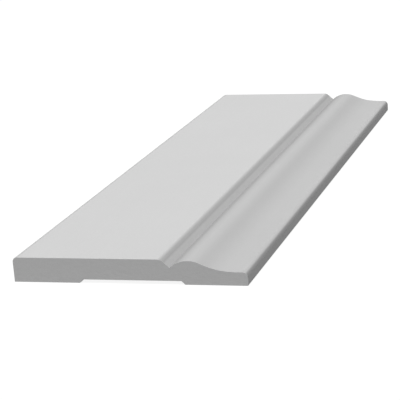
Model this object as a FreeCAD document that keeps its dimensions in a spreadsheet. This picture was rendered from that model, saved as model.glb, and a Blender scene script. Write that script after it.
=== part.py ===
import FreeCAD, Part
import Sketcher
import math
import os

# A short length of skirting board, sawn square at both ends from one stick of primed moulding.
# It lies on its back with the moulded face up, as it would on a bench.
# X runs across the board: the thick plain edge that stands on the floor is at -X,
# the thin moulded edge that ends up at the top of the wall is at +X.
# Y runs along the length and Z comes up out of the back.
# The origin is the middle of the back, level with the two feet that touch the wall.

doc = FreeCAD.newDocument("skirting_board_length")

# Driving sizes
# Lengths are millimetres and angles are degrees.
# Heights on the face are given as depths below the flat face, and the moulding is built up
# from the outer top edge, so a wider or a thicker board keeps the same moulding.
driving_sizes = [
    ("board_length", 470.0, "from saw cut to saw cut"),
    ("board_width", 133.35, "from the outside of the floor edge to the outside of the top edge"),
    ("board_thickness", 14.0, "from the feet on the back to the flat face"),
    ("floor_edge_bevel", 1.4, "angle by which the floor edge is cut back under the face"),
    ("floor_edge_round", 2.5, "radius between the flat face and the floor edge"),
    ("shoulder_round", 4.5, "radius where the flat face rolls down into the quirk"),
    ("quirk_angle", 42.0, "slope of the straight side of the quirk below the face"),
    ("quirk_depth", 4.6, "from the flat face down to the bottom of the quirk"),
    ("bead_radius", 15.2, "radius of the bead between the quirk and the ogee"),
    ("bead_drop", 0.6, "from the flat face down to the crest of the bead"),
    ("ogee_straight", 4.95, "straight slope between the bead and the cove"),
    ("cove_radius", 35.0, "radius of the tighter part of the cove, next to the steepest slope"),
    ("cove_runout_radius", 65.0, "radius of the flatter part of the cove, where it runs out level"),
    ("cove_runout_turn", 8.5, "angle that the flatter part of the cove turns through"),
    ("ogee_drop", 5.84, "from the crest of the bead down to the level top land"),
    ("top_land_width", 2.2, "level strip between the end of the cove and the nose"),
    ("nose_round", 3.0, "radius between the top land and the top edge"),
    ("back_arris_round", 0.5, "radius between the top edge and the back"),
    ("relief_depth", 2.0, "depth of the hollow planed along the back"),
    ("relief_angle", 45.0, "slope of the two sides of the hollow"),
    ("floor_foot_width", 38.1, "foot on the back beside the floor edge"),
    ("top_foot_width", 35.0, "foot on the back beside the top edge"),
]

sizes_sheet = doc.addObject("Spreadsheet::Sheet", "sizes")
size = {}
for row, (alias, value, meaning) in enumerate(driving_sizes, start=1):
    sizes_sheet.set("A%d" % row, alias)
    sizes_sheet.set("B%d" % row, str(value))
    sizes_sheet.set("C%d" % row, meaning)
    sizes_sheet.setAlias("B%d" % row, alias)
    size[alias] = value
doc.recompute()


def cosine(degrees):
    return math.cos(math.radians(degrees))


def sine(degrees):
    return math.sin(math.radians(degrees))


def arc(centre, radius, start_degrees, end_degrees):
    """Arc about a centre, anticlockwise from the start angle to the end angle."""
    circle = Part.Circle(FreeCAD.Vector(centre[0], centre[1], 0), FreeCAD.Vector(0, 0, 1), radius)
    return Part.ArcOfCircle(circle, math.radians(start_degrees), math.radians(end_degrees))


def line(start, end):
    return Part.LineSegment(FreeCAD.Vector(start[0], start[1], 0), FreeCAD.Vector(end[0], end[1], 0))


def on_circle(centre, radius, degrees):
    return (centre[0] + radius * cosine(degrees), centre[1] + radius * sine(degrees))


# Where the section's lines and arcs start out
# The outline is first laid down from the driving sizes, and the constraints then hold it.
edge_x = size["board_width"] / 2
face_z = size["board_thickness"]
crest_z = face_z - size["bead_drop"]
land_z = crest_z - size["ogee_drop"]

# Floor edge: a round below the face, then a plane that is cut back towards the back
floor_round_centre = (-edge_x + size["floor_edge_round"], face_z - size["floor_edge_round"])
floor_round_end = on_circle(floor_round_centre, size["floor_edge_round"], 180 + size["floor_edge_bevel"])
floor_corner_x = floor_round_end[0] + floor_round_end[1] * math.tan(math.radians(size["floor_edge_bevel"]))

# Nose and back arris: two rounds at the thin top edge
nose_centre = (edge_x - size["nose_round"], land_z - size["nose_round"])
arris_centre = (edge_x - size["back_arris_round"], size["back_arris_round"])

# Ogee: its steepest slope is the one at which the bead, the straight and the cove fall as far as the land.
# The radii of the bead and the cove make one arm, square to the straight, and the fall sets how far it leans.
slope_arm = size["bead_radius"] + size["cove_radius"]
runout_share = (size["cove_radius"] - size["cove_runout_radius"]) * (1 - cosine(size["cove_runout_turn"]))
arm_height = slope_arm - size["ogee_drop"] - runout_share
arm_length = math.hypot(slope_arm, size["ogee_straight"])
ogee_slope_angle = math.degrees(
    math.acos(arm_height / arm_length) - math.atan2(size["ogee_straight"], slope_arm)
)

# Cove: two arcs, each tangent to the next, which end level at the top land
runout_centre = (nose_centre[0] - size["top_land_width"], land_z + size["cove_runout_radius"])
cove_start_angle = 270 - ogee_slope_angle
cove_end_angle = 270 - size["cove_runout_turn"]
cove_end = on_circle(runout_centre, size["cove_runout_radius"], cove_end_angle)
cove_centre = on_circle(cove_end, size["cove_radius"], cove_end_angle - 180)
cove_start = on_circle(cove_centre, size["cove_radius"], cove_start_angle)

# Bead: it leaves for the ogee at the steepest slope, and meets the quirk at the quirk's depth
bead_start_angle = 90 - ogee_slope_angle
bead_start = on_circle(cove_start, size["ogee_straight"], 180 - ogee_slope_angle)
bead_centre = on_circle(bead_start, size["bead_radius"], bead_start_angle - 180)
quirk_rise = face_z - size["quirk_depth"] - bead_centre[1]
bead_end_angle = 180 - math.degrees(math.asin(quirk_rise / size["bead_radius"]))
quirk_bottom = on_circle(bead_centre, size["bead_radius"], bead_end_angle)

# Shoulder: it touches the flat face and the straight side of the quirk
shoulder_fall = size["shoulder_round"] * (1 - cosine(size["quirk_angle"]))
quirk_run = (size["quirk_depth"] - shoulder_fall) / math.tan(math.radians(size["quirk_angle"]))
shoulder_centre = (
    quirk_bottom[0] - quirk_run - size["shoulder_round"] * sine(size["quirk_angle"]),
    face_z - size["shoulder_round"],
)
shoulder_start = on_circle(shoulder_centre, size["shoulder_round"], 90 - size["quirk_angle"])

# Relief: a shallow hollow along the back, so that only two feet touch the wall
relief_z = size["relief_depth"]
relief_side_run = relief_z / math.tan(math.radians(size["relief_angle"]))
relief_floor_x = floor_corner_x + size["floor_foot_width"]
relief_top_x = edge_x - size["top_foot_width"]

# The board
board = doc.addObject("PartDesign::Body", "skirting_board")
board.Label = "skirting_board"
board.Placement = FreeCAD.Placement(FreeCAD.Vector(0, 0, 0), FreeCAD.Rotation(0, 0, 0))
section_plane = [plane for plane in board.Origin.OriginFeatures if plane.Role == "XZ_Plane"][0]

section = board.newObject("Sketcher::SketchObject", "moulding_section")
section.AttachmentSupport = [(section_plane, "")]
section.MapMode = "FlatFace"

# Outline of the section, starting at the floor corner and going anticlockwise
floor_foot = section.addGeometry(line((floor_corner_x, 0), (relief_floor_x, 0)))
relief_floor_side = section.addGeometry(
    line((relief_floor_x, 0), (relief_floor_x + relief_side_run, relief_z))
)
relief_roof = section.addGeometry(
    line((relief_floor_x + relief_side_run, relief_z), (relief_top_x - relief_side_run, relief_z))
)
relief_top_side = section.addGeometry(
    line((relief_top_x, 0), (relief_top_x - relief_side_run, relief_z))
)
top_foot = section.addGeometry(line((relief_top_x, 0), (arris_centre[0], 0)))
back_arris = section.addGeometry(arc(arris_centre, size["back_arris_round"], 270, 360))
top_edge = section.addGeometry(line((edge_x, arris_centre[1]), (edge_x, nose_centre[1])))
nose = section.addGeometry(arc(nose_centre, size["nose_round"], 0, 90))
top_land = section.addGeometry(line((nose_centre[0], land_z), (runout_centre[0], land_z)))
cove_runout = section.addGeometry(arc(runout_centre, size["cove_runout_radius"], cove_end_angle, 270))
cove = section.addGeometry(arc(cove_centre, size["cove_radius"], cove_start_angle, cove_end_angle))
ogee_slope = section.addGeometry(line(cove_start, bead_start))
bead = section.addGeometry(arc(bead_centre, size["bead_radius"], bead_start_angle, bead_end_angle))
quirk_side = section.addGeometry(line(quirk_bottom, shoulder_start))
shoulder = section.addGeometry(
    arc(shoulder_centre, size["shoulder_round"], 90 - size["quirk_angle"], 90)
)
flat_face = section.addGeometry(
    line((shoulder_centre[0], face_z), (floor_round_centre[0], face_z))
)
floor_round = section.addGeometry(
    arc(floor_round_centre, size["floor_edge_round"], 90, 180 + size["floor_edge_bevel"])
)
floor_edge = section.addGeometry(line((floor_corner_x, 0), floor_round_end))

# Points of a line or an arc, and the sheet's own axis and origin
START = 1
END = 2
CENTRE = 3
BACK_LINE = -1
ORIGIN = -1


def hold(kind, *references):
    section.addConstraint(Sketcher.Constraint(kind, *references))


def drive(name, kind, *references):
    """Holds a size of the outline, with the start value last, and gives it a name."""
    index = section.addConstraint(Sketcher.Constraint(kind, *references))
    section.renameConstraint(index, name)


# Sharp corners
hold("Coincident", floor_foot, END, relief_floor_side, START)
hold("Coincident", relief_floor_side, END, relief_roof, START)
hold("Coincident", relief_roof, END, relief_top_side, END)
hold("Coincident", relief_top_side, START, top_foot, START)
hold("Coincident", bead, END, quirk_side, START)
hold("Coincident", floor_edge, START, floor_foot, START)

# Smooth joints
hold("Tangent", top_foot, END, back_arris, START)
hold("Tangent", back_arris, END, top_edge, START)
hold("Tangent", top_edge, END, nose, START)
hold("Tangent", nose, END, top_land, START)
hold("Tangent", top_land, END, cove_runout, END)
hold("Tangent", cove_runout, START, cove, END)
hold("Tangent", cove, START, ogee_slope, START)
hold("Tangent", ogee_slope, END, bead, START)
hold("Tangent", quirk_side, END, shoulder, START)
hold("Tangent", shoulder, END, flat_face, START)
hold("Tangent", flat_face, END, floor_round, START)
hold("Tangent", floor_round, END, floor_edge, END)

# Level and upright lines
hold("PointOnObject", floor_foot, START, BACK_LINE)
hold("Horizontal", floor_foot)
hold("Horizontal", relief_roof)
hold("PointOnObject", top_foot, START, BACK_LINE)
hold("Horizontal", top_foot)
hold("Vertical", top_edge)
hold("Horizontal", flat_face)
hold("Horizontal", top_land)

# Driving sizes of the section
drive("face_height", "DistanceY", ORIGIN, START, flat_face, END, face_z)
drive("top_edge_place", "DistanceX", ORIGIN, START, top_edge, END, edge_x)
drive("floor_edge_place", "DistanceX", floor_round, CENTRE, ORIGIN, START, -floor_round_centre[0])
drive("floor_bevel", "Angle", floor_edge, math.radians(90 + size["floor_edge_bevel"]))
drive("floor_radius", "Radius", floor_round, size["floor_edge_round"])
drive("shoulder_radius", "Radius", shoulder, size["shoulder_round"])
drive("quirk_slope", "Angle", quirk_side, math.radians(180 - size["quirk_angle"]))
drive("quirk_height", "DistanceY", ORIGIN, START, quirk_side, START, quirk_bottom[1])
drive("bead_size", "Radius", bead, size["bead_radius"])
drive("bead_level", "DistanceY", bead, CENTRE, flat_face, END, face_z - bead_centre[1])
drive("ogee_straight_size", "Distance", ogee_slope, size["ogee_straight"])
drive("cove_size", "Radius", cove, size["cove_radius"])
drive("cove_runout_size", "Radius", cove_runout, size["cove_runout_radius"])
drive("cove_runout_span", "Angle", cove_runout, math.radians(size["cove_runout_turn"]))
drive("land_height", "DistanceY", ORIGIN, START, nose, END, land_z)
drive("top_land_size", "DistanceX", top_land, END, top_land, START, size["top_land_width"])
drive("nose_radius", "Radius", nose, size["nose_round"])
drive("arris_radius", "Radius", back_arris, size["back_arris_round"])
drive("relief_height", "DistanceY", ORIGIN, START, relief_roof, START, relief_z)
drive("relief_floor_slope", "Angle", relief_floor_side, math.radians(size["relief_angle"]))
drive("relief_top_slope", "Angle", relief_top_side, math.radians(180 - size["relief_angle"]))
drive("floor_foot_size", "DistanceX", floor_foot, START, floor_foot, END, size["floor_foot_width"])
drive("top_foot_size", "DistanceX", top_foot, START, top_edge, START, size["top_foot_width"])

# What drives each size of the section
section_expressions = {
    "face_height": "sizes.board_thickness",
    "top_edge_place": "sizes.board_width / 2",
    "floor_edge_place": "sizes.board_width / 2 - sizes.floor_edge_round",
    "floor_bevel": "90 + sizes.floor_edge_bevel",
    "floor_radius": "sizes.floor_edge_round",
    "shoulder_radius": "sizes.shoulder_round",
    "quirk_slope": "180 - sizes.quirk_angle",
    "quirk_height": "sizes.board_thickness - sizes.quirk_depth",
    "bead_size": "sizes.bead_radius",
    "bead_level": "sizes.bead_drop + sizes.bead_radius",
    "ogee_straight_size": "sizes.ogee_straight",
    "cove_size": "sizes.cove_radius",
    "cove_runout_size": "sizes.cove_runout_radius",
    "cove_runout_span": "sizes.cove_runout_turn",
    "land_height": "sizes.board_thickness - sizes.bead_drop - sizes.ogee_drop",
    "top_land_size": "sizes.top_land_width",
    "nose_radius": "sizes.nose_round",
    "arris_radius": "sizes.back_arris_round",
    "relief_height": "sizes.relief_depth",
    "relief_floor_slope": "sizes.relief_angle",
    "relief_top_slope": "180 - sizes.relief_angle",
    "floor_foot_size": "sizes.floor_foot_width",
    "top_foot_size": "sizes.top_foot_width",
}
for constraint_name, expression in section_expressions.items():
    section.setExpression("Constraints." + constraint_name, expression)
doc.recompute()

# The stick: the section runs the whole length, half of it to each side of the middle
stick = board.newObject("PartDesign::Pad", "sawn_length")
stick.Profile = section
stick.SideType = "Symmetric"
stick.setExpression("Length", "sizes.board_length")
board.Tip = stick
doc.recompute()

# Every object of the document has to be sound before the board is written
for item in doc.Objects:
    if "Invalid" in item.State or "Error" in item.State:
        raise RuntimeError(item.Name + " failed: " + ", ".join(item.State))
if not section.FullyConstrained:
    raise RuntimeError("the section is not fully held by its sizes")
if board.Shape.isNull() or not board.Shape.isValid():
    raise RuntimeError("the board is not a sound solid")
if len(board.Shape.Solids) != 1:
    raise RuntimeError("the board is not one solid")

box = board.Shape.BoundBox
print("board %.3f x %.3f x %.3f mm" % (box.XLength, box.YLength, box.ZLength))
print("volume %.1f mm3" % board.Shape.Volume)

os.makedirs("parts", exist_ok=True)
board.Shape.exportStep("parts/" + board.Label + ".step")
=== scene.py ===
import math

import bpy
import numpy as np
from mathutils import Matrix, Vector


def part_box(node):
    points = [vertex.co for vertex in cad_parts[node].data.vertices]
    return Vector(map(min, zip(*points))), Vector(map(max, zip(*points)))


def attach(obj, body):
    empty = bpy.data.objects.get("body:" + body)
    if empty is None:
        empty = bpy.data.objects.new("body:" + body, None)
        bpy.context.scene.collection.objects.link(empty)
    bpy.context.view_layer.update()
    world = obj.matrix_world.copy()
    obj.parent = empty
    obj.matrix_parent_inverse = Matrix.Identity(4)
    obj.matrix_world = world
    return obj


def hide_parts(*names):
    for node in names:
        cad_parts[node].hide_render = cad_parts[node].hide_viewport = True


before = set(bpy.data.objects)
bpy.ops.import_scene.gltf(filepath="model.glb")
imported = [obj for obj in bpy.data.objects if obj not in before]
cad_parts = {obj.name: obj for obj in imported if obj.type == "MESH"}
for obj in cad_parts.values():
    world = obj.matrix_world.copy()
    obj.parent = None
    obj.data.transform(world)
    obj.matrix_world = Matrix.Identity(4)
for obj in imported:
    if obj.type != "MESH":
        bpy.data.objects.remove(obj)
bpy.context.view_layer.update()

# The looks of one length of skirting board, lying on its back.
# Everything is in metres: X across the board from the floor edge to the moulded top edge,
# Y along its length, Z out of the back. Angles are in degrees.

MM = 0.001
QUARTER_TURN = 90.0
NODE = "skirting_board"
board_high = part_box(NODE)[1]


def cosine(degrees):
    return math.cos(math.radians(degrees))


def sine(degrees):
    return math.sin(math.radians(degrees))


# Sizes of the section
# The overall sizes come from the frame, and the moulding's own sizes are those of the source.
EDGE_X = board_high[0]
HALF_LENGTH = board_high[1]
FACE_Z = board_high[2]
FLOOR_EDGE_BEVEL = 1.4
FLOOR_EDGE_ROUND = 2.5 * MM
SHOULDER_ROUND = 4.5 * MM
QUIRK_ANGLE = 42.0
QUIRK_DEPTH = 4.6 * MM
BEAD_RADIUS = 15.2 * MM
BEAD_DROP = 0.6 * MM
OGEE_STRAIGHT = 4.95 * MM
OGEE_DROP = 5.84 * MM
COVE_RADIUS = 35.0 * MM
COVE_RUNOUT_RADIUS = 65.0 * MM
COVE_RUNOUT_TURN = 8.5
TOP_LAND_WIDTH = 2.2 * MM
NOSE_ROUND = 3.0 * MM
BACK_ARRIS_ROUND = 0.5 * MM
RELIEF_DEPTH = 2.0 * MM
RELIEF_ANGLE = 45.0
FLOOR_FOOT_WIDTH = 38.1 * MM
TOP_FOOT_WIDTH = 35.0 * MM

# What primer leaves of the corners that the source has sharp
CORNER_EASE = 0.2 * MM
QUIRK_EASE = 0.2 * MM
SAWN_EASE = 0.12 * MM

# How finely the surface is divided: the most that one step of a bend turns and covers, the distance between
# the stations along the length, and the steps round the eased arris of a sawn end
BEND_STEP = 4.0
BEND_CHORD = 0.8 * MM
STATION_STEP = 10.0 * MM
SAWN_EASE_STEPS = 4


def ogee_angle():
    """Steepest slope of the ogee, in degrees.

    The bead, the straight and the two arcs of the cove fall by the ogee's drop. With both radii as one arm,
    arm * cos(angle) - straight * sin(angle) is the arm's height, and that equation is solved for the angle.
    """
    arm = BEAD_RADIUS + COVE_RADIUS
    runout_share = (COVE_RADIUS - COVE_RUNOUT_RADIUS) * (1 - cosine(COVE_RUNOUT_TURN))
    arm_height = arm - OGEE_DROP - runout_share
    lean = math.acos(arm_height / math.hypot(arm, OGEE_STRAIGHT)) - math.atan2(OGEE_STRAIGHT, arm)
    return math.degrees(lean)


# Places across the board, from the top edge inwards
OGEE_ANGLE = ogee_angle()
LAND_Z = FACE_Z - BEAD_DROP - OGEE_DROP
LAND_END_X = EDGE_X - NOSE_ROUND - TOP_LAND_WIDTH
COVE_CENTRE_X = LAND_END_X - (COVE_RUNOUT_RADIUS - COVE_RADIUS) * sine(COVE_RUNOUT_TURN)
BEAD_START_X = COVE_CENTRE_X - COVE_RADIUS * sine(OGEE_ANGLE) - OGEE_STRAIGHT * cosine(OGEE_ANGLE)
CREST_X = BEAD_START_X - BEAD_RADIUS * sine(OGEE_ANGLE)
BEAD_TURN = math.degrees(math.acos(1 - (QUIRK_DEPTH - BEAD_DROP) / BEAD_RADIUS))
QUIRK_X = CREST_X - BEAD_RADIUS * sine(BEAD_TURN)
SHOULDER_FALL = SHOULDER_ROUND * (1 - cosine(QUIRK_ANGLE))
SHOULDER_END_X = QUIRK_X - (QUIRK_DEPTH - SHOULDER_FALL) / math.tan(math.radians(QUIRK_ANGLE))
SHOULDER_X = SHOULDER_END_X - SHOULDER_ROUND * sine(QUIRK_ANGLE)


class Outline:
    """A section drawn as a pen would: straight runs and bends, each taking up where the last one ended.

    A run keeps the heading. A bend turns it along a circle that touches the line before and after it.
    Each sample keeps its place and its heading, and the outward normal is the heading turned a quarter to
    the right.
    """

    def __init__(self, x, z):
        self.place = np.array([x, z])
        self.heading = 0.0
        self.places = []
        self.headings = []

    def run(self, length):
        """A straight of this length. Its far end is the first sample of what comes next."""
        self.places.append(self.place[None, :])
        self.headings.append([self.heading])
        self.place = self.place + length * np.array([cosine(self.heading), sine(self.heading)])

    def run_to_x(self, x):
        self.run((x - self.place[0]) / cosine(self.heading))

    def run_to_z(self, z):
        self.run((z - self.place[1]) / sine(self.heading))

    def bend(self, radius, turn):
        """With s as the sign of the turn and a as the heading, which goes evenly from a0 to a0 + turn:
        x = x0 + s * radius * (sin a - sin a0), z = z0 + s * radius * (cos a0 - cos a).
        """
        steps = math.ceil(max(abs(turn) / BEND_STEP, radius * math.radians(abs(turn)) / BEND_CHORD))
        headings = self.heading + turn * np.arange(steps + 1) / steps
        angles = np.radians(headings)
        across = np.sin(angles) - np.sin(angles[0])
        upward = np.cos(angles[0]) - np.cos(angles)
        places = self.place + math.copysign(radius, turn) * np.stack([across, upward], axis=1)
        self.places.append(places[:-1])
        self.headings.append(headings[:-1])
        self.place = places[-1]
        self.heading = headings[-1]

    def samples(self):
        angles = np.radians(np.concatenate(self.headings))
        return np.concatenate(self.places), np.stack([np.sin(angles), -np.cos(angles)], axis=1)


def cut_back(radius, turn):
    """How far a small bend cuts back both lines that meet at its corner: radius * tan(turn / 2)."""
    return radius * math.tan(math.radians(turn) / 2)


def board_section():
    """The outline of the board, anticlockwise from the floor corner.

    It goes along the back, up the top edge, over the moulding and the flat face, and down the floor edge.
    """
    bevel = math.radians(FLOOR_EDGE_BEVEL)
    bevel_run = (FACE_Z - FLOOR_EDGE_ROUND) * math.tan(bevel)
    floor_corner_x = -EDGE_X + FLOOR_EDGE_ROUND + bevel_run - FLOOR_EDGE_ROUND / math.cos(bevel)
    floor_turn = QUARTER_TURN - FLOOR_EDGE_BEVEL
    floor_cut = cut_back(CORNER_EASE, floor_turn)
    relief_cut = cut_back(CORNER_EASE, RELIEF_ANGLE)
    relief_cut_rise = relief_cut * sine(RELIEF_ANGLE)
    relief_side_run = RELIEF_DEPTH / math.tan(math.radians(RELIEF_ANGLE))
    relief_top_x = EDGE_X - TOP_FOOT_WIDTH
    quirk_turn = BEAD_TURN + QUIRK_ANGLE
    quirk_cut_turn = math.degrees(cut_back(QUIRK_EASE, quirk_turn) / BEAD_RADIUS)

    pen = Outline(floor_corner_x + floor_cut, 0.0)
    pen.run_to_x(floor_corner_x + FLOOR_FOOT_WIDTH - relief_cut)
    pen.bend(CORNER_EASE, RELIEF_ANGLE)
    pen.run_to_z(RELIEF_DEPTH - relief_cut_rise)
    pen.bend(CORNER_EASE, -RELIEF_ANGLE)
    pen.run_to_x(relief_top_x - relief_side_run - relief_cut)
    pen.bend(CORNER_EASE, -RELIEF_ANGLE)
    pen.run_to_z(relief_cut_rise)
    pen.bend(CORNER_EASE, RELIEF_ANGLE)
    pen.run_to_x(EDGE_X - BACK_ARRIS_ROUND)
    pen.bend(BACK_ARRIS_ROUND, QUARTER_TURN)
    pen.run_to_z(LAND_Z - NOSE_ROUND)
    pen.bend(NOSE_ROUND, QUARTER_TURN)
    pen.run_to_x(LAND_END_X)
    pen.bend(COVE_RUNOUT_RADIUS, -COVE_RUNOUT_TURN)
    pen.bend(COVE_RADIUS, COVE_RUNOUT_TURN - OGEE_ANGLE)
    pen.run(OGEE_STRAIGHT)
    pen.bend(BEAD_RADIUS, OGEE_ANGLE + BEAD_TURN - quirk_cut_turn)
    pen.bend(QUIRK_EASE, quirk_cut_turn - quirk_turn)
    pen.run_to_z(FACE_Z - SHOULDER_FALL)
    pen.bend(SHOULDER_ROUND, QUIRK_ANGLE)
    pen.run_to_x(-EDGE_X + FLOOR_EDGE_ROUND)
    pen.bend(FLOOR_EDGE_ROUND, QUARTER_TURN + FLOOR_EDGE_BEVEL)
    pen.run_to_z(floor_cut * math.cos(bevel))
    pen.bend(CORNER_EASE, floor_turn)
    return pen.samples()


def board_stations():
    """Places along the board, how far the section shrinks there, and how far its normals lean to the end.

    At each sawn end the arris is a quarter circle: the section shrinks by radius * (1 - cos(angle))
    while it comes within radius * (1 - sin(angle)) of the end.
    """
    angles = np.linspace(0, math.pi / 2, SAWN_EASE_STEPS + 1)
    far_places = HALF_LENGTH - SAWN_EASE * (1 - np.sin(angles))
    far_shrink = SAWN_EASE * (1 - np.cos(angles))
    middle_end = HALF_LENGTH - SAWN_EASE
    middle_count = math.ceil(2 * middle_end / STATION_STEP)
    middle = np.linspace(-middle_end, middle_end, middle_count + 1)[1:-1]
    places = np.concatenate([-far_places[::-1], middle, far_places])
    shrink = np.concatenate([far_shrink[::-1], np.zeros(len(middle)), far_shrink])
    lean = np.concatenate([-angles[::-1], np.zeros(len(middle)), angles])
    return places, shrink, lean


def board_mesh():
    """The section carried along the length: point = section point - shrink * normal, at each station.

    The first and last sections are closed by one flat face each.
    """
    section, normals = board_section()
    places, shrink, lean = board_stations()
    around = len(section)
    stations = len(places)

    points = np.empty((stations, around, 3))
    points[..., 0] = section[:, 0] - shrink[:, None] * normals[:, 0]
    points[..., 1] = places[:, None]
    points[..., 2] = section[:, 1] - shrink[:, None] * normals[:, 1]

    leaning = np.empty((stations, around, 3))
    leaning[..., 0] = np.cos(lean)[:, None] * normals[:, 0]
    leaning[..., 1] = np.sin(lean)[:, None]
    leaning[..., 2] = np.cos(lean)[:, None] * normals[:, 1]

    corner = np.arange(around)
    following = (corner + 1) % around
    near = np.arange(stations - 1)[:, None] * around
    far = near + around
    quads = np.stack([far + corner, far + following, near + following, near + corner], axis=-1)
    near_cap = corner.tolist()
    far_cap = (corner[::-1] + (stations - 1) * around).tolist()
    faces = quads.reshape(-1, 4).tolist() + [near_cap, far_cap]

    mesh = bpy.data.meshes.new("primed_board_surface")
    mesh.from_pydata(points.reshape(-1, 3), [], faces)
    mesh.shade_smooth()
    mesh.normals_split_custom_set_from_vertices(leaning.reshape(-1, 3))
    return mesh


# Finishes
# A noise node's values gather about this middle, and this makes their usual reach 1 to each side.
NOISE_MIDDLE = 0.5
NOISE_SPREAD = 4.0


class Value:
    """A number that changes over a surface, held as the socket it comes from.

    An expression on it adds Math nodes, and numbers alone are worked out beforehand.
    """

    def __init__(self, nodes, socket):
        self.nodes = nodes
        self.socket = socket

    def math(self, operation, *others):
        inputs = dict(enumerate([self, *others]))
        return self.nodes.add("ShaderNodeMath", {"operation": operation}, inputs)

    def __add__(self, other):
        return self.math("ADD", other)

    __radd__ = __add__

    def __mul__(self, other):
        return self.math("MULTIPLY", other)

    __rmul__ = __mul__

    def __sub__(self, other):
        return self.math("SUBTRACT", other)

    def __rsub__(self, other):
        return self * -1.0 + other

    def wave(self):
        return self.math("SINE")

    def size(self):
        return self.math("ABSOLUTE")

    def root(self):
        return self.math("SQRT")

    def larger(self, other):
        return self.math("MAXIMUM", other)

    def rises(self, low, high):
        """0 below low, 1 above high, and a smooth rise between them."""
        settings = {"interpolation_type": "SMOOTHSTEP"}
        inputs = {"Value": self, "From Min": low, "From Max": high}
        return self.nodes.add("ShaderNodeMapRange", settings, inputs)

    def falls(self, low, high):
        """1 below low, 0 above high, and a smooth fall between them."""
        return 1 - self.rises(low, high)

    def follows(self, table):
        """The share that a table of places and shares gives, straight from one line of it to the next."""
        low = table[0][0]
        high = table[-1][0]
        inputs = {"Value": self, "From Min": low, "From Max": high}
        along = self.nodes.add("ShaderNodeMapRange", {}, inputs)
        stops = [((place - low) / (high - low), plain(share)) for place, share in table]
        return self.nodes.add("ShaderNodeValToRGB", {"color_ramp": stops}, {"Fac": along})


class Nodes:
    """The nodes of one material or of the world, added one at a time."""

    def __init__(self, owner, output_kind):
        owner.use_nodes = True
        self.owner = owner
        self.tree = owner.node_tree
        self.tree.nodes.clear()
        self.output = self.tree.nodes.new(output_kind)

    def add(self, kind, settings=None, inputs=None, output=0):
        """One node: its settings first, then the values or links of its sockets. It gives one output."""
        node = self.tree.nodes.new(kind)
        for name, setting in (settings or {}).items():
            if name == "color_ramp":
                set_stops(node.color_ramp, setting)
            else:
                setattr(node, name, setting)
        for name, value in (inputs or {}).items():
            if isinstance(value, Value):
                self.tree.links.new(value.socket, node.inputs[name])
            else:
                node.inputs[name].default_value = value
        return Value(self, node.outputs[output])

    def noise(self, place, detail, width=1.0):
        """Soft random patches of this width, with finer ones on them, nearly all between -1 and 1."""
        inputs = {"Vector": place, "Scale": 1 / width, "Detail": detail}
        return (self.add("ShaderNodeTexNoise", {}, inputs, "Fac") - NOISE_MIDDLE) * NOISE_SPREAD

    def stretched(self, place, widths, turn=0.0):
        """Places counted in widths along three axes that are turned about Z.

        A pattern of unit size then comes out this wide along each of them.
        """
        settings = {"vector_type": "TEXTURE"}
        rotation = (0.0, 0.0, math.radians(turn))
        inputs = {"Vector": place, "Rotation": rotation, "Scale": widths}
        return self.add("ShaderNodeMapping", settings, inputs)

    def dots(self, place, spacing, width):
        """Rounded dots of 1 on 0, scattered one to a cell, where the surface happens to cut them."""
        inputs = {"Vector": place, "Scale": 1 / spacing}
        distance = self.add("ShaderNodeTexVoronoi", {}, inputs, "Distance")
        return distance.falls(0.0, width / spacing)

    def show(self, shader):
        self.tree.links.new(shader.socket, self.output.inputs["Surface"])


def set_stops(ramp, stops):
    """Gives a ramp these places and colours, with as many stops as they need."""
    while len(ramp.elements) < len(stops):
        ramp.elements.new(1.0)
    for element, (position, colour) in zip(ramp.elements, stops):
        element.position = position
        element.color = colour


def material_nodes(name):
    return Nodes(bpy.data.materials.new(name), "ShaderNodeOutputMaterial")


def plain(grey):
    """The same grey in all three colours, for a colour socket."""
    return (grey, grey, grey, 1.0)


# Primer
# A tone of 1 is white, and all tones are plain light values, not screen values.
PRIMER_TONE = 0.66
PRIMER_ROUGHNESS = 0.80
PRIMER_IOR = 1.45
PRIMER_SHEEN_LEVEL = 0.05

# Painted shade: the tone is darkened over the floor edge's round and the moulding, most of all in the
# quirk, where shade falls. Over the bead, the ogee and the top land, part of it is a darker tone of their
# own.
# Each line has a place across the board and how much of the tone is left there.
FLOOR_EDGE_PAINTED_SHADE = [
    (-EDGE_X + 0.1 * MM, 0.88),
    (-EDGE_X + 0.8 * MM, 0.75),
    (-EDGE_X + 1.3 * MM, 0.78),
    (-EDGE_X + 2.1 * MM, 0.855),
    (-EDGE_X + 3.3 * MM, 1.0),
]
MOULDING_TONE_AND_PAINTED_SHADE = [
    (SHOULDER_X, 1.0),
    (SHOULDER_X + 2.2 * MM, 0.71),
    (SHOULDER_END_X, 0.74),
    (SHOULDER_END_X + 0.4 * MM, 0.69),
    (SHOULDER_END_X + 1.3 * MM, 0.83),
    (QUIRK_X - 0.22 * MM, 0.815),
    (QUIRK_X - 0.06 * MM, 0.65),
    (QUIRK_X + 3.0 * MM, 0.65),
    (QUIRK_X + 4.4 * MM, 0.68),
    (QUIRK_X + 5.6 * MM, 0.765),
    (QUIRK_X + 7.4 * MM, 0.815),
    (CREST_X, 0.865),
    (BEAD_START_X - 2.3 * MM, 0.855),
    (BEAD_START_X + 1.7 * MM, 0.81),
    (BEAD_START_X + 7.0 * MM, 0.84),
    (BEAD_START_X + 14.0 * MM, 0.865),
]
# Painted shade on the nose's round: how much of the tone is left where it turns down to the top edge
NOSE_PAINTED_SHADE = 0.67
BACK_SHARE = 0.95

# Where the back's finish gives way to the face, in from the long edges, and where the nose's painted shade
# fades, in from the top edge and below the top land
BACK_FADE = (0.8 * MM, 1.2 * MM)
NOSE_SHADE_FADE = (0.5 * MM, 1.6 * MM)
NOSE_SHADE_FADE_DOWN = (1.4 * MM, 3.4 * MM)

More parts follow.
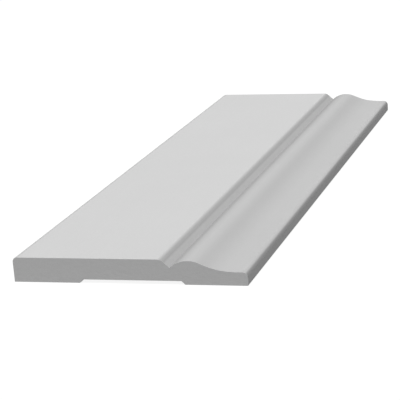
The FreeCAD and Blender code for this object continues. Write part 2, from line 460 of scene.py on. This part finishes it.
# The texture's widths and spacings, with the directions of the fibres
DRIFT_WIDTH = 45.0 * MM
PEEL_WIDTH = 2.2 * MM
NAP_WIDTH = 0.6 * MM
STREAK_WIDTHS = (1.3 * MM, 160.0 * MM, 1.3 * MM)
FIBRE_WIDTHS = (1.8 * MM, 0.22 * MM, 0.22 * MM)
FIBRE_TURNS = (24.0, -52.0, 81.0)
NIB_SPACING = 11.0 * MM
NIB_WIDTH = 0.7 * MM
KNIFE_PITCH = 1.9 * MM
SAW_LINE_WIDTHS = (0.55 * MM, 60.0 * MM, 60.0 * MM)
SAW_PATCH_WIDTH = 9.0 * MM

# Where the saw blade's centre was, in X and Z
SAW_CENTRE = (40.0 * MM, -140.0 * MM)

# A fibre shows where its noise goes past the first of these, and is whole past the second
FIBRE_THRESHOLD = (0.75, 1.05)

# How many layers of finer patches each noise has, each layer half as wide as the one before
DRIFT_DETAIL = 2.0
PEEL_DETAIL = 1.0
NAP_DETAIL = 3.0
STREAK_DETAIL = 3.0
FIBRE_DETAIL = 1.0
SAW_DETAIL = 2.0
SAW_PATCH_DETAIL = 1.0

# How strong the saw lines are on average, and how far from that their patches take them
SAW_PATCH_MIDDLE = 0.7
SAW_PATCH_SWING = 0.4

# The heights of its relief, in millimetres to each side of the middle
PEEL_HEIGHT = 0.018
NAP_HEIGHT = 0.004
STREAK_HEIGHT = 0.003
NIB_HEIGHT = 0.06
KNIFE_HEIGHT = 0.0015
SAW_HEIGHT = 0.008

# The share by which each darkens or lightens the tone
DRIFT_SHADE = 0.008
NAP_SHADE = 0.014
STREAK_SHADE = 0.005
FIBRE_SHADE = 0.07
SAW_SHADE = 0.012

# How much coarser the nap is on the softer stock that the moulding and the sawn ends lay bare
MOULDED_NAP = 0.8
SAWN_NAP = 1.0

# How much more the streaks show on the back, which gets a single thin pass
BACK_STREAKS = 3.0

# How much rougher each leaves the sheen
NAP_SHEEN = 0.04
SAWN_SHEEN = 0.10


def fibre_lay(nodes, place):
    """Short fibres under the coat, which lie in several directions: 1 on a fibre and 0 beside it."""
    lay = 0.0
    for turn in FIBRE_TURNS:
        strands = nodes.noise(nodes.stretched(place, FIBRE_WIDTHS, turn), FIBRE_DETAIL)
        lay = strands.rises(*FIBRE_THRESHOLD) + lay
    return lay


def saw_lines(nodes, place, x, z):
    """Fine arcs about the blade's centre, which lies below the bench. They come and go in patches.

    The lines are noise over the distance from the centre, drawn out along the arc.
    """
    from_centre_x = x - SAW_CENTRE[0]
    from_centre_z = z - SAW_CENTRE[1]
    distance = (from_centre_x * from_centre_x + from_centre_z * from_centre_z).root()
    arc_place = nodes.add("ShaderNodeCombineXYZ", {}, {"X": distance, "Y": x})
    lines = nodes.noise(nodes.stretched(arc_place, SAW_LINE_WIDTHS), SAW_DETAIL)
    patches = nodes.noise(place, SAW_PATCH_DETAIL, SAW_PATCH_WIDTH)
    return lines * (SAW_PATCH_MIDDLE + patches * SAW_PATCH_SWING)


def primer_finish():
    """Sprayed primer: pale grey and matt, with orange peel, a fine nap, the marks of knives and saw, and
    painted shade.
    """
    nodes = material_nodes("primer")
    place = nodes.add("ShaderNodeTexCoord", {}, {}, "Object")
    x = nodes.add("ShaderNodeSeparateXYZ", {}, {"Vector": place}, "X")
    y = nodes.add("ShaderNodeSeparateXYZ", {}, {"Vector": place}, "Y")
    z = nodes.add("ShaderNodeSeparateXYZ", {}, {"Vector": place}, "Z")

    # Where things are
    sawn = y.size().rises(HALF_LENGTH - SAWN_EASE, HALF_LENGTH)
    planed = 1 - sawn
    below_faces = z.falls(RELIEF_DEPTH, RELIEF_DEPTH + CORNER_EASE)
    back = below_faces * x.size().falls(EDGE_X - BACK_FADE[1], EDGE_X - BACK_FADE[0])
    moulded = x.rises(SHOULDER_X, SHOULDER_END_X) * (1 - back) * planed
    # The nose's painted shade lies on its round, in from the top edge and down from the top land
    nose_shade_across = x.rises(EDGE_X - NOSE_SHADE_FADE[1], EDGE_X - NOSE_SHADE_FADE[0])
    nose_shade = nose_shade_across * z.rises(LAND_Z - NOSE_SHADE_FADE_DOWN[1], LAND_Z - NOSE_SHADE_FADE_DOWN[0])

    # The coat: slow drift, orange peel, a fine nap, streaks along the length, short fibres and a few nibs
    drift = nodes.noise(place, DRIFT_DETAIL, DRIFT_WIDTH)
    peel = nodes.noise(place, PEEL_DETAIL, PEEL_WIDTH)
    nap = nodes.noise(place, NAP_DETAIL, NAP_WIDTH) * (1 + moulded * MOULDED_NAP + sawn * SAWN_NAP)
    streaks = nodes.noise(nodes.stretched(place, STREAK_WIDTHS), STREAK_DETAIL) * (1 + back * BACK_STREAKS)
    fibres = fibre_lay(nodes, place)
    nibs = nodes.dots(place, NIB_SPACING, NIB_WIDTH) * planed

    # Knife marks are shallow waves across the board, one for each cut of the moulder's head
    knife_marks = (y * (2 * math.pi / KNIFE_PITCH) + drift).wave() * planed
    saw_marks = saw_lines(nodes, place, x, z) * sawn

    # Painted shade across the face: darker over the floor edge's round, the shoulder, the quirk, the bead's
    # inner flank and the nose. The moulded strip's slightly darker level tone is its own.
    face_tone_and_shade = x.follows(FLOOR_EDGE_PAINTED_SHADE) * x.follows(MOULDING_TONE_AND_PAINTED_SHADE)
    face_tone_and_shade = face_tone_and_shade * (1 - nose_shade * (1 - NOSE_PAINTED_SHADE))
    tone_and_painted_shade = sawn + planed * (back * BACK_SHARE + (1 - back) * face_tone_and_shade)
    shade = 1 + drift * DRIFT_SHADE + nap * NAP_SHADE + streaks * STREAK_SHADE + saw_marks * SAW_SHADE
    tone = PRIMER_TONE * tone_and_painted_shade * (shade - fibres * FIBRE_SHADE)

    roughness = PRIMER_ROUGHNESS + nap * NAP_SHEEN + sawn * SAWN_SHEEN
    coat_relief = peel * PEEL_HEIGHT + nap * NAP_HEIGHT + streaks * STREAK_HEIGHT + nibs * NIB_HEIGHT
    relief = coat_relief + knife_marks * KNIFE_HEIGHT + saw_marks * SAW_HEIGHT
    normal = nodes.add("ShaderNodeBump", {}, {"Strength": 1.0, "Distance": MM, "Height": relief})
    inputs = {
        "Base Color": tone,
        "Roughness": roughness,
        "Normal": normal,
        "IOR": PRIMER_IOR,
        "Specular IOR Level": PRIMER_SHEEN_LEVEL,
    }
    nodes.show(nodes.add("ShaderNodeBsdfPrincipled", {}, inputs))
    return nodes.owner


board = bpy.data.objects.new("primed_board", board_mesh())
bpy.context.scene.collection.objects.link(board)
board.data.materials.append(primer_finish())
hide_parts(NODE)
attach(board, "root")

# Floor and backdrop
# Seen directly both are white, less the board's own soft shadow. Light on its way meets a plain pale floor.
FLOOR_SIZE = 8.0
FLOOR_GAP = 0.05 * MM
FLOOR_TONE = 0.475
FLOOR_GLOW = 0.90
FLOOR_SHADOW_SHARE = 0.14


def seen_directly(nodes):
    """1 where the camera, a reflection or a see-through piece looks, and 0 for light on its way."""
    camera_sees = nodes.add("ShaderNodeLightPath", {}, {}, "Is Camera Ray")
    gloss_sees = nodes.add("ShaderNodeLightPath", {}, {}, "Is Glossy Ray")
    glass_sees = nodes.add("ShaderNodeLightPath", {}, {}, "Is Transmission Ray")
    return camera_sees.larger(gloss_sees).larger(glass_sees)


def floor_finish():
    nodes = material_nodes("plain_floor")
    lit = nodes.add("ShaderNodeBsdfDiffuse", {}, {"Color": plain(FLOOR_TONE)})
    shaded = nodes.add("ShaderNodeBsdfDiffuse", {}, {"Color": plain(FLOOR_SHADOW_SHARE)})
    glow = nodes.add("ShaderNodeEmission", {}, {"Strength": FLOOR_GLOW})
    white = nodes.add("ShaderNodeAddShader", {}, {0: shaded, 1: glow})
    nodes.show(nodes.add("ShaderNodeMixShader", {}, {0: seen_directly(nodes), 1: lit, 2: white}))
    return nodes.owner


def floor_mesh():
    """A square: every pairing of -reach and reach in x and y, just under the board's feet."""
    reach = FLOOR_SIZE / 2
    corners = reach * np.array([[-1, -1], [1, -1], [1, 1], [-1, 1]])
    mesh = bpy.data.meshes.new("floor_surface")
    mesh.from_pydata(np.column_stack([corners, np.full(4, -FLOOR_GAP)]), [], [[0, 1, 2, 3]])
    return mesh


floor = bpy.data.objects.new("floor", floor_mesh())
bpy.context.scene.collection.objects.link(floor)
floor.data.materials.append(floor_finish())

# Light
SKY_LEVEL = 0.23
KEY_STRENGTH = 2.455
KEY_SOFTNESS = 18.0
KEY_AZIMUTH = -8.0
KEY_ELEVATION = 78.2


def light_world():
    """An even pale sky for the light, and plain white where it is seen directly."""
    world = bpy.data.worlds.new("studio")
    bpy.context.scene.world = world
    nodes = Nodes(world, "ShaderNodeOutputWorld")
    sky = nodes.add("ShaderNodeBackground", {}, {"Color": plain(1.0), "Strength": SKY_LEVEL})
    white = nodes.add("ShaderNodeBackground", {}, {"Color": plain(1.0), "Strength": 1.0})
    nodes.show(nodes.add("ShaderNodeMixShader", {}, {0: seen_directly(nodes), 1: sky, 2: white}))


def soft_key():
    """One wide soft lamp. Azimuth 0 is the near end's side, and 90 is the top edge's side."""
    lamp = bpy.data.lights.new("soft_key", "SUN")
    lamp.energy = KEY_STRENGTH
    lamp.angle = math.radians(KEY_SOFTNESS)
    key = bpy.data.objects.new("soft_key", lamp)
    bpy.context.scene.collection.objects.link(key)
    level = cosine(KEY_ELEVATION)
    towards_key = Vector((sine(KEY_AZIMUTH) * level, -cosine(KEY_AZIMUTH) * level, sine(KEY_ELEVATION)))
    key.rotation_euler = towards_key.to_track_quat("Z", "Y").to_euler()


light_world()
soft_key()

# Camera
# Azimuth 0 looks along the board from the near end, and elevation is how far the view looks down.
CAMERA_AZIMUTH = 15.970
CAMERA_ELEVATION = 13.877
CAMERA_ROLL = -3.668
CAMERA_PLACE = (286.883 * MM, -1087.501 * MM, 266.213 * MM)
CAMERA_LENS = 155.191
CAMERA_SENSOR = 36.0
CAMERA_REACH = (0.01, 20.0)


def place_camera():
    camera_data = bpy.data.cameras.new("camera")
    camera_data.lens = CAMERA_LENS
    camera_data.sensor_width = CAMERA_SENSOR
    camera_data.clip_start = CAMERA_REACH[0]
    camera_data.clip_end = CAMERA_REACH[1]
    camera = bpy.data.objects.new("camera", camera_data)
    bpy.context.scene.collection.objects.link(camera)
    camera.location = CAMERA_PLACE
    turned = Matrix.Rotation(math.radians(CAMERA_AZIMUTH), 3, "Z")
    tipped = Matrix.Rotation(math.radians(QUARTER_TURN - CAMERA_ELEVATION), 3, "X")
    rolled = Matrix.Rotation(math.radians(CAMERA_ROLL), 3, "Z")
    camera.rotation_euler = (turned @ tipped @ rolled).to_euler()
    bpy.context.scene.camera = camera


place_camera()
bpy.context.scene.view_settings.view_transform = "Standard"
